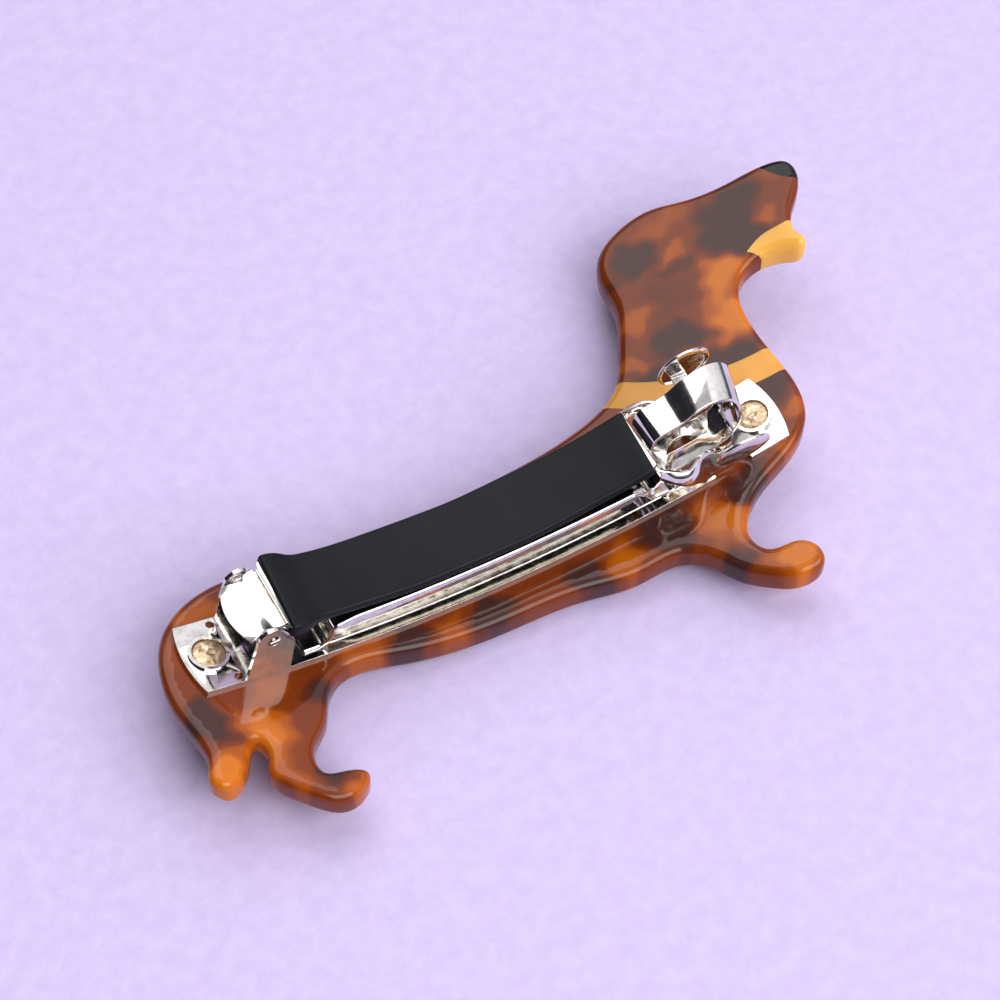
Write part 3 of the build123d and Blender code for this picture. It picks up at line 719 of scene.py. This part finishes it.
def arm():
    """Strip, hinge panel with its lugs, and the rolled loop."""
    # The shoulders' corners are cut off at the hinge end, so that they pass over the ears as the arm opens
    corner = ARM_LEFT + 0.4
    x = np.concatenate([[ARM_LEFT - 0.25, ARM_LEFT, corner], np.linspace(corner + 0.4, ARM_RIGHT, 88)])
    half_width = np.interp(x, [ARM_LEFT, corner, corner + 0.6, -25.4, 19.8, ARM_RIGHT],
                           [4.2, 5.2, 5.2, 4.3, 4.3, 4.0])
    points, faces = side_strip(np.column_stack([x, arm_z(x)]), half_width, 0.6, 0.1)
    strip = make_piece("arm_strip", points, faces, NICKEL, "arm")
    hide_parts("top_arm")

    # Panel: its path rolls down at the hinge, its free edge bows out, and its sides curve in round the lugs
    path = bent_line([(ARM_LEFT - 0.42, arm_z(ARM_LEFT) + 0.12), (ARM_LEFT - 1.4, arm_z(ARM_LEFT) + 0.12),
                      (-32.2, 9.95), (-32.9, 9.75)], 0.8, 0.15)
    along = np.clip((ARM_LEFT - path[:, 0]) / 4.6, 0, 1)
    half = 4.3 - 0.55 * np.exp(-(((path[:, 0] + 30.9) / 0.9) ** 2)) - 0.15 * along**3
    v = np.linspace(-1, 1, 41)
    bow = 1.15 * (along**2)[:, None] * (1 - v**2)
    way = unit(np.gradient(path, axis=0))
    normal = np.column_stack([way[:, 1], -way[:, 0]])
    crown = 0.25 * (1 - v**2)
    surface = []
    for side in (0.25, -0.25):
        surface.append(np.stack([
            path[:, 0][:, None] - bow + normal[:, 0][:, None] * side,
            half[:, None] * v,
            path[:, 1][:, None] + crown + normal[:, 1][:, None] * side,
        ], axis=-1))
    rows, columns = surface[0].shape[:2]
    rim = np.concatenate([surface[0], surface[1][:, ::-1]], axis=1)
    panel = make_piece("arm_panel", rim.reshape(-1, 3), capped_faces(rows, 2 * columns), NICKEL, "arm")
    soften(panel, 0.07)
    # Lugs: a web down from the panel and a flat tongue out through the ear
    pivot_z = float(rise(PIVOT[0])) + PIVOT[1]
    for sign, name in ((-1, "belly"), (1, "back")):
        line = bent_line([(sign * 3.6, 10.0), (sign * 3.75, pivot_z + 0.1), (sign * 5.15, pivot_z)], 0.3, 0.15)
        centre = np.column_stack([np.full(len(line), PIVOT[0]), line])
        way = unit(np.gradient(centre, axis=0))
        normal = np.cross(way, [1.0, 0, 0])
        points, faces = ribbon(centre, np.array([1.0, 0, 0]), normal, 0.66, 0.3, 0.1)
        make_piece("arm_lug_" + name, points, faces, NICKEL, "arm")

    # Loop: the strip's narrow tongue rolled over itself, its lower run cut back to a strip at the belly edge
    loop = bent_line(above_bar([
        (20.6, 8.1), (21.2, 7.2), (21.9, 4.0), (23.4, 2.1), (29.0, 2.1), (32.6, 2.7), (34.0, 5.6), (33.7, 8.6),
        (32.4, 11.0), (29.8, 12.35), (27.0, 12.05), (25.3, 11.0), (21.5, 10.7), (21.0, 8.8)]), 1.9, 0.25)
    height = loop[:, 1] - rise(loop[:, 0])
    within = np.interp(loop[:, 0], [22.8, 23.6, 30.4, 31.6], [0, 1, 1, 0])
    cut_back = np.clip(LOWER_RUN_TOP - height, 0, 1) * within
    half_width = LOOP_HALF - cut_back * (LOOP_HALF - LOWER_RUN_HALF)
    points, faces = side_strip(loop, half_width, 0.5, 0.12, half_width - LOOP_HALF)
    # Its back edge stands higher and further out than its belly edge, towards the rolled end
    height = points[:, 2] - rise(points[:, 0])
    share = np.clip((points[:, 0] - 24) / 7, 0, 1) * np.clip((height - 1.5) / 6, 0, 1)
    points[:, 2] += LOOP_BACK_UP * points[:, 1] * share
    points[:, 0] += LOOP_BACK_OUT * points[:, 1] * share
    # The narrow strip leans towards the belly
    height = points[:, 2] - rise(points[:, 0])
    low = np.clip(LOWER_RUN_TOP - height, 0, 1) * np.interp(points[:, 0], [23, 25, 29, 31], [0, 1, 1, 0])
    points[:, 2] += LOWER_RUN_LEAN * (points[:, 1] + LOOP_HALF - LOWER_RUN_HALF) * low
    make_piece("arm_loop", points, faces, NICKEL, "arm")


def curved_strip(centre, across, normal, half_width, thick, bulge):
    """Points and faces of a strip that bulges along its normal.

    It bulges by bulge * (1 - v * v), with v across it from -1 to 1.
    """
    v = np.linspace(-1, 1, 17)
    out = (np.broadcast_to(bulge, len(centre))[:, None] * (1 - v**2))[..., None] * normal[:, None]
    wide = (half_width[:, None] * v)[..., None] * across[:, None]
    front = centre[:, None] + wide + out + normal[:, None] * thick / 2
    back = centre[:, None] + wide + out - normal[:, None] * thick / 2
    rings = np.concatenate([front, back[:, ::-1]], axis=1)
    return rings.reshape(-1, 3), capped_faces(*rings.shape[:2])


# The sleeve's sections lean along the arm by this share of their y
SLEEVE_SKEW = 0.065


def sleeve():
    """Silicone tube round the strip: an outer and an inner rounded rectangle, joined at both ends.

    The outer one is thicker and wider at the hinge end, and swells and thins slightly on the way.
    """
    x = np.concatenate([[-27.95, -27.87, -27.65], np.linspace(-27.25, 20.1, 110), [20.35, 20.46, 20.5]])
    ends = np.minimum(x - x[0], x[-1] - x)
    roll = 0.16 * (1 - np.sqrt(np.clip(1 - (1 - np.clip(ends / 0.6, 0, 1)) ** 2, 0, 1)))
    flare = 1 / (1 + np.exp((x + 25.2) / 0.55))
    half_width = 4.7 + 0.88 * flare + 0.05 * np.sin(0.42 * x) - roll
    half_thick = 0.65 + 0.42 * flare + 0.1 / (1 + np.exp(-(x - 18.5) / 0.5)) + 0.02 * np.sin(0.7 * x) - roll
    turn, side_sign, face_sign = rounded_corners(8)
    centre, normal = path_along_clip(x, arm_z(x))

    def skin(wide, thick, corner):
        """Rings of a rounded rectangle along the arm."""
        corner = np.minimum(corner, thick)
        across = side_sign * (wide - corner)[:, None] + corner[:, None] * np.cos(turn)
        up = face_sign * (thick - corner)[:, None] + corner[:, None] * np.sin(turn)
        ring = centre[:, None] + normal[:, None] * up[..., None]
        ring[..., 1] += across
        ring[..., 0] += SLEEVE_SKEW * ring[..., 1]
        return ring

    outer = skin(half_width, half_thick, np.full(len(x), 0.5))
    inner_half = np.interp(x, [-27.6, -25.4], [5.23, 4.33])
    inner = skin(inner_half, np.full(len(x), 0.33), np.full(len(x), 0.1))
    rings = np.concatenate([outer, inner[::-1]])
    faces = ring_faces(len(rings), len(turn), rings_closed=True)
    made = make_piece("sleeve_tube", rings.reshape(-1, 3), faces, SILICONE, "arm", 60)
    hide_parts("grip_sleeve")


# ---------------------------------------------------------------- the tension bar
def tension_spring():
    """A bowed channel: a flat top with rounded shoulders and lips that fade out at both ends, on two feet."""
    bow = above_bar([(-19.5, 4.75), (-1, 4.85), (17.6, 4.75)])
    feet = above_bar([(-26.4, 0.35), (-24.4, 0.35), (-23.3, 1.5), (-22.7, 4.0)])
    toes = above_bar([(19.6, 3.6), (20.3, 2.1), (22.6, 1.8)])
    fit = np.polyfit(bow[:, 0], bow[:, 1], 2)
    run = np.linspace(-19.5, 17.6, 60)
    arch = np.column_stack([run, np.polyval(fit, run)])
    left = bent_line(np.vstack([feet, arch[:2]]), 0.9, 0.25)
    right = bent_line(np.vstack([arch[-2:], toes]), 0.9, 0.25)
    line = np.vstack([left[:-1], arch[1:-1], right[1:]])
    centre, normal = path_along_clip(line[:, 0], line[:, 1])
    lip = np.interp(line[:, 0], [-22.7, -20.2, 17.2, 18.6], [0.0, 0.95, 0.95, 0.0])
    half = 4.5 - 0.5 * np.clip((-22.6 - line[:, 0]) / 1.5, 0, 1)
    sheet, round_ = 0.35, 0.45
    # Half of the section, from the lip's foot over the shoulder to the middle: (share of lip, out, up)
    outer = np.vstack([[(0.0, -round_)], arc((-round_, -round_), round_, 0, 90, 6), [(-2.0, 0.0)]])
    inner = outer.copy()
    inner[:, 0] -= sheet * np.array([1, *np.cos(np.radians(np.linspace(0, 90, 6))), 0])
    inner[:, 1] -= sheet * np.array([0, *np.sin(np.radians(np.linspace(0, 90, 6))), 1])
    reach = np.array([1.0] + [0.0] * 7)
    side = np.concatenate([outer, inner[::-1]])
    drop = np.concatenate([reach, reach[::-1]])
    shell_side = np.stack([half[:, None] + side[:, 0], side[:, 1] - lip[:, None] * drop], axis=-1)
    other = shell_side[:, ::-1] * np.array([-1, 1])
    section = np.concatenate([shell_side[:, :8], other[:, 8:], other[:, :8], shell_side[:, 8:]], axis=1)
    rings = centre[:, None] + normal[:, None] * (section[..., 1] + sheet / 2)[..., None]
    rings[..., 1] += section[..., 0]
    faces = capped_faces(*rings.shape[:2])
    made = make_piece("tension_channel", rings.reshape(-1, 3), faces, NICKEL, "spring", 40)
    soften(made, 0.06)
    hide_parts("tension_bar")


# ---------------------------------------------------------------- thumb tabs
WING_PLAN = [(20.8, 4.9), (22.4, 5.5), (24.3, 5.9), (26.4, 4.9), (28.6, 4.25), (31.4, 4.25)]
WING_TOP = [(20.0, 8.7), (22.5, 7.2), (24.4, 6.4), (26.6, 6.1), (28.0, 5.3), (29.2, 4.1), (31.4, 4.0)]
WING_FOOT = [(20.0, 7.2), (21.0, 6.1), (23.2, 4.4), (25.0, 3.0), (26.3, 1.4), (27.4, 0.25), (29.8, 0.2),
             (31.4, 0.6)]
DISC_CENTRE = (30.9, 7.3)
DISC_HEIGHT = 6.9


def thumb_tab(node_name, sign, lean):
    """A sprung wing, a neck that bends outwards from it, and a dished disc with a rolled rim."""
    body = frame_body(node_name)
    plan = smooth_through([(x, sign * y) for x, y in WING_PLAN], 60)
    top = np.interp(plan[:, 0], *smooth_through(WING_TOP, 60).T) + rise(plan[:, 0])
    foot = np.interp(plan[:, 0], *smooth_through(WING_FOOT, 60).T) + rise(plan[:, 0])
    centre = np.column_stack([plan, (top + foot) / 2])
    flat_way = unit(np.gradient(np.column_stack([plan, np.zeros(len(plan))]), axis=0))
    lean_in = np.interp(plan[:, 0], [20.8, 23.0, 27.0, 31.4], [0.10, 0.14, 0.10, 0.0])
    across = unit(np.column_stack([np.zeros(len(plan)), -sign * lean_in, np.ones(len(plan))]))
    normal = unit(np.cross(flat_way, across)) * sign
    bulge = np.interp(plan[:, 0], [20.8, 22.5, 25.5, 28.0, 31.4], [0.1, 0.55, 0.5, 0.15, 0.0])
    points, faces = curved_strip(centre, across, -normal, (top - foot) / 2, 0.4, bulge)
    wing = make_piece(node_name + "_wing", points, faces, NICKEL, body)
    soften(wing, 0.08)
    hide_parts(node_name)

    base = float(rise(DISC_CENTRE[0]))
    tilt = math.radians(lean)
    disc_foot = sign * DISC_CENTRE[1] + (DISC_HEIGHT - 5.3) * math.tan(tilt)
    line = bent_line([(sign * 4.25, base + 1.0), (sign * 4.25, base + 3.4), (sign * 6.0, base + 4.8),
                      (disc_foot, base + 5.3)], 0.8, 0.2)
    neck = np.column_stack([np.full(len(line), 30.3), line])
    way = unit(np.gradient(neck, axis=0))
    points, faces = ribbon(neck, np.array([1.0, 0, 0]), np.cross(way, [1.0, 0, 0]), 1.05, 0.2, 0.08)
    make_piece(node_name + "_neck", points, faces, NICKEL, body)

    middle = np.array([DISC_CENTRE[0], sign * DISC_CENTRE[1], base + DISC_HEIGHT])
    outward = np.array([0, sign * math.cos(tilt), sign * math.sin(tilt)])
    back = [(0.0, 0.20), (1.6, 0.20), (2.7, 0.18), (3.2, 0.10)]
    rim = arc((3.38, -0.16), 0.22, 80, -90, 9)
    hollow = [(3.2, -0.20), (2.9, -0.16), (2.0, -0.08), (0.0, -0.06)]
    points, faces = turned(np.vstack([back, rim, hollow]), middle, outward, around=64)
    make_piece(node_name + "_disc", points, faces, NICKEL, body, 50)


# ---------------------------------------------------------------- light, floor and camera
def studio():
    """Pale floor, wide soft lights and a camera above the hinge side of the clip."""
    size = 1.4
    floor_mesh = bpy.data.meshes.new("floor")
    corner = np.array([(-1, -1), (1, -1), (1, 1), (-1, 1)]) * size
    floor_points = np.column_stack([corner, np.full(4, cad_low.z - 0.00002)])
    floor_mesh.from_pydata(floor_points.tolist(), [], [(0, 1, 2, 3)])
    floor_mesh.materials.append(lavender_paper())
    floor = bpy.data.objects.new("floor", floor_mesh)
    bpy.context.scene.collection.objects.link(floor)

    for name, way, distance, width, height, power in SOFT_LIGHTS:
        lamp = bpy.data.lights.new(name, "AREA")
        lamp.shape = "RECTANGLE"
        lamp.size, lamp.size_y = width, height
        lamp.energy = power
        holder = bpy.data.objects.new(name, lamp)
        back = Vector(way).normalized()
        level = Vector((0, 1, 0)).cross(back).normalized()
        turn = Matrix((level, back.cross(level), back)).transposed().to_4x4()
        holder.matrix_world = Matrix.Translation(back * distance) @ turn
        bpy.context.scene.collection.objects.link(holder)

    world = bpy.data.worlds.new("room")
    bpy.context.scene.world = world
    world.use_nodes = True
    tree = world.node_tree
    background = tree.nodes["Background"]
    where = tree.nodes.new("ShaderNodeTexCoord")
    split = tree.nodes.new("ShaderNodeSeparateXYZ")
    ramp = tree.nodes.new("ShaderNodeValToRGB")
    wall = tree.nodes.new("ShaderNodeValToRGB")
    halve = tree.nodes.new("ShaderNodeMath")
    halve.operation = "MULTIPLY_ADD"
    halve.inputs[1].default_value = halve.inputs[2].default_value = 0.5
    both = tree.nodes.new("ShaderNodeVectorMath")
    both.operation = "MULTIPLY"
    tree.links.new(where.outputs["Generated"], split.inputs[0])
    tree.links.new(split.outputs["Z"], ramp.inputs["Fac"])
    tree.links.new(split.outputs["X"], halve.inputs[0])
    tree.links.new(halve.outputs[0], wall.inputs["Fac"])
    set_ramp(ramp, ROOM_STOPS)
    set_ramp(wall, DARK_WALL_STOPS)
    tree.links.new(ramp.outputs["Color"], both.inputs[0])
    tree.links.new(wall.outputs["Color"], both.inputs[1])
    tree.links.new(both.outputs[0], background.inputs["Color"])
    background.inputs["Strength"].default_value = 1.0

    azimuth, elevation, roll = (math.radians(v) for v in CAMERA_TURN)
    back = Vector((math.sin(azimuth) * math.cos(elevation), -math.cos(azimuth) * math.cos(elevation),
                   math.sin(elevation)))
    right = Vector((math.cos(azimuth), math.sin(azimuth), 0))
    up = back.cross(right)
    rolled_right = right * math.cos(roll) + up * math.sin(roll)
    rolled_up = up * math.cos(roll) - right * math.sin(roll)
    lens = bpy.data.cameras.new("camera")
    lens.lens = CAMERA_LENS
    lens.sensor_width = 36.0
    lens.clip_start = 0.01
    camera = bpy.data.objects.new("camera", lens)
    turn = Matrix((rolled_right, rolled_up, back)).transposed().to_4x4()
    camera.matrix_world = Matrix.Translation(Vector(place(CAMERA_PLACE))) @ turn
    bpy.context.scene.collection.objects.link(camera)
    bpy.context.scene.camera = camera
    bpy.context.scene.view_settings.view_transform = "Standard"


# name, direction from the object, distance, width, height in metres, power in watts
SOFT_LIGHTS = [
    ("ceiling_light", (0.06, 0.50, 0.84), 1.0, 0.80, 0.80, 3.4),
    ("front_light", (0.22, -0.68, 0.70), 1.2, 1.25, 0.75, 12.0),
]
ROOM_STOPS = [
    (0.00, (0.03, 0.03, 0.04)),
    (0.15, (0.05, 0.05, 0.06)),
    (0.40, (0.36, 0.35, 0.38)),
    (1.00, (0.56, 0.55, 0.58)),
]
DARK_WALL_STOPS = [
    (0.28, (0.06, 0.06, 0.07)),
    (0.40, (1.0, 1.0, 1.0)),
    (0.62, (1.0, 1.0, 1.0)),
    (0.72, (2.2, 2.2, 2.2)),
]
CAMERA_PLACE = (-95.96, -178.81, 300.81)
CAMERA_TURN = (-28.62, 54.99, 0.53)
CAMERA_LENS = 107.93

acetate_plate()
softened_copy("base_bar", NICKEL)
softened_copy("catch_floor", NICKEL, 0.06)
rivet("hinge_rivet", -RIVET_X, 0.7)
rivet("clasp_rivet", RIVET_X, 2.1)
arm()
sleeve()
tension_spring()
thumb_tab("thumb_tab_belly", -1, 17.0)
thumb_tab("thumb_tab_back", 1, 8.0)
studio()
